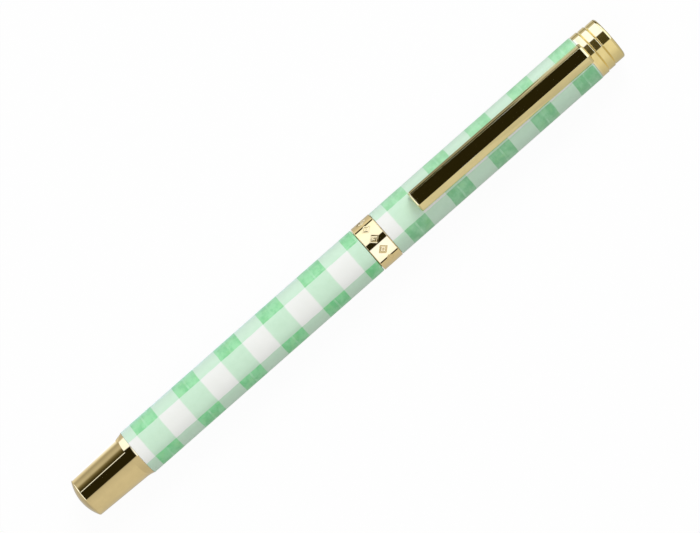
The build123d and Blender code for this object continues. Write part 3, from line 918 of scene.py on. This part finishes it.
# What polished trim mirrors: soft boxes on both sides of a dark overhead slot. Each
# list gives (degrees from +Z towards +Y, brightness), for one range of directions
# along the pen, because the real soft boxes are short and don't reach past its ends.
WHITE, CARD = 2.0, 0.02
SEEN_FROM_TAIL = [
    (-180, 0.5), (-120, 0.62), (-60, 0.65), (-25, 0.58), (-18, 0.5), (-16, CARD), (29.5, CARD),
    (30.5, WHITE), (32.5, WHITE), (33.5, 0.05), (42, 0.06), (50, 0.12), (57, 0.2), (60, 0.3),
    (64, 0.44), (69, 0.54), (76, 0.54), (96, 0.41), (103, 0.45), (110, 0.6), (117, 0.75),
    (126, 0.8), (150, 0.65), (180, 0.5)]
SEEN_FROM_FLARE = [
    (-180, 0.5), (-25, 0.6), (-18, 0.55), (-16, CARD), (40, CARD), (44, WHITE), (100, WHITE),
    (108, 0.6), (180, 0.5)]
SEEN_FROM_CAP = [
    (-180, 0.45), (-150, 0.6), (-125, 0.68), (-95, 0.7), (-70, 0.62), (-20, 0.6), (20, 0.7),
    (60, 1.1), (90, 1.4), (115, 1.4), (117, 0.03), (127, 0.03), (129, 0.42),
    (133.5, 0.42), (136, 0.08), (140, 0.08), (144, 0.42), (180, 0.45)]
SEEN_FROM_BARREL = [
    (-180, 0.45), (-150, 0.6), (-125, 0.68), (-95, 0.7), (-70, 0.62), (-20, 0.6), (20, 0.7),
    (60, 1.1), (90, 1.4), (110, 1.6), (122, 2.0), (165, 2.0), (180, 0.6)]
SEEN_FROM_BAND = [
    (-180, 0.5), (-108, 0.65), (-102.5, 0.7), (-101, 0.03), (-94, 0.03), (-92.5, 1.95),
    (-60, 2.2), (-19, 2.2), (-17, CARD), (7.5, CARD), (9.5, 1.95), (45, 2.0), (70, 1.8), (84, 1.75),
    (85.5, 0.05), (93.5, 0.05), (95, 0.85), (104, 0.8), (110, 0.67), (140, 0.57), (180, 0.5)]
SEEN_FROM_FINIAL = [
    (-180, 0.45), (-117, 0.6), (-92, 0.68), (-77, 0.78), (-62, 0.85), (-18, 0.86), (-16, 0.065),
    (5, 0.065), (25, 0.08), (33, 0.1), (36, 2.4), (102, 2.4), (105, 0.55), (117, 0.6),
    (118.5, 0.28), (125.5, 0.28), (127.5, 0.6), (160, 0.7), (180, 0.5)]
SEEN_FROM_CLIP = [
    (-180, 0.45), (-117, 0.68), (-60, 0.74), (-24, 0.74), (-20, CARD), (27, CARD), (34, 0.8),
    (90, 0.8), (94, 0.04), (125.5, 0.04), (127.5, 0.42), (132, 0.42), (134.5, 0.08), (138, 0.08),
    (142, 0.42), (180, 0.45)]
SEEN_FROM_ENDS = [
    (-180, 0.45), (-90, 0.6), (-23, 0.65), (-19, 2.0), (92, 1.9), (96, 0.6), (104, 0.1),
    (124, 0.12), (132, 0.55), (180, 0.45)]

# Each list takes over from the one before it between two leans of the direction to +X.
ZONES = [
    (-0.60, -0.56, SEEN_FROM_FLARE), (-0.20, -0.18, SEEN_FROM_TAIL),
    (-0.10, -0.08, SEEN_FROM_BARREL), (-0.02, -0.005, SEEN_FROM_BAND),
    (0.02, 0.03, SEEN_FROM_CAP), (0.066, 0.0685, SEEN_FROM_FINIAL),
    (0.0905, 0.0945, SEEN_FROM_CLIP), (0.18, 0.22, SEEN_FROM_ENDS)]
BRIGHTEST = 2.5             # the ramps hold colours as a share of this


def studio_colour(brightness):
    """Colour of the studio at one brightness: dark parts are warm brown, soft boxes cool white."""
    warmth = max(0.0, 1 - brightness / 0.5) ** 1.5
    return (min(brightness, 1.2), min(brightness, 1.38) * (1 - 0.16 * warmth),
            brightness * (1 - 0.76 * warmth))


def studio(n):
    """Colour that the trim mirrors in a direction, as nodes."""
    direction = n.add("ShaderNodeTexCoord").outputs["Generated"]
    axes = n.add("ShaderNodeSeparateXYZ", {0: direction}).outputs
    turn_share = n.math("MULTIPLY_ADD", n.math("ARCTAN2", axes[1], axes[2]), 0.5 / math.pi, 0.5)

    def ramp(stops):
        node = n.add("ShaderNodeValToRGB", {0: turn_share})
        elements = node.color_ramp.elements
        while len(elements) < len(stops):
            elements.new(0.5)
        for element, (degrees, brightness) in zip(elements, stops):
            element.position = 0.5 + degrees / 360
            element.color = (*(v / BRIGHTEST for v in studio_colour(brightness)), 1)
        return node.outputs[0]

    result = ramp(SEEN_FROM_ENDS)
    for low, high, stops in ZONES:
        share = n.add("ShaderNodeMapRange", {0: axes[0], 1: low, 2: high}).outputs[0]
        result = n.mix(share, result, ramp(stops))
    return result


FILL = 0.44                 # even light from all round on matt surfaces


def set_world():
    """White to the camera, the studio to mirrored rays, and an even fill for all others."""
    world = bpy.data.worlds.new("studio")
    world.use_nodes = True
    n = Tree(world.node_tree)
    ray = n.add("ShaderNodeLightPath").outputs
    mirrored = n.scaled(studio(n), BRIGHTEST)
    lighting = n.mix(ray["Is Glossy Ray"], (FILL, FILL, FILL), mirrored)
    seen = n.mix(ray["Is Camera Ray"], lighting, (FLOOR_WHITE, FLOOR_WHITE, FLOOR_WHITE))
    n.set(n.tree.nodes["Background"].inputs["Color"], seen)
    world.cycles.sampling_method = "NONE"
    bpy.context.scene.world = world


set_world()

VIEW_ELEVATION, VIEW_ROLL, VIEW_DISTANCE = 81.5, 41.37, 0.9
FRAME_WIDTH = 0.13742       # width of the picture at the pen
VIEW_CENTRE = -0.005        # this place on the axis is nearly in the picture's centre
VIEW_OFFSET = (-0.00037, -0.00013)


def set_camera():
    """Camera above the pen, leaning to its -Y side, rolled so that the finial points up right."""
    data = bpy.data.cameras.new("camera")
    camera = new_object("camera", data)
    lean, roll = math.radians(VIEW_ELEVATION), math.radians(VIEW_ROLL)
    backward = Vector((0, -math.cos(lean), math.sin(lean)))
    across = Vector((1, 0, 0))
    upward = backward.cross(across)
    right = math.cos(roll) * across - math.sin(roll) * upward
    up = math.sin(roll) * across + math.cos(roll) * upward
    target = Vector((VIEW_CENTRE, 0, 0)) - VIEW_OFFSET[0] * right - VIEW_OFFSET[1] * up
    spot = target + VIEW_DISTANCE * backward
    camera.matrix_world = Matrix((
        (right.x, up.x, backward.x, spot.x), (right.y, up.y, backward.y, spot.y),
        (right.z, up.z, backward.z, spot.z), (0, 0, 0, 1)))
    data.lens = data.sensor_width * VIEW_DISTANCE / FRAME_WIDTH
    data.clip_start, data.clip_end = 0.01, 20
    bpy.context.scene.camera = camera


set_camera()
bpy.context.scene.view_settings.view_transform = "Standard"
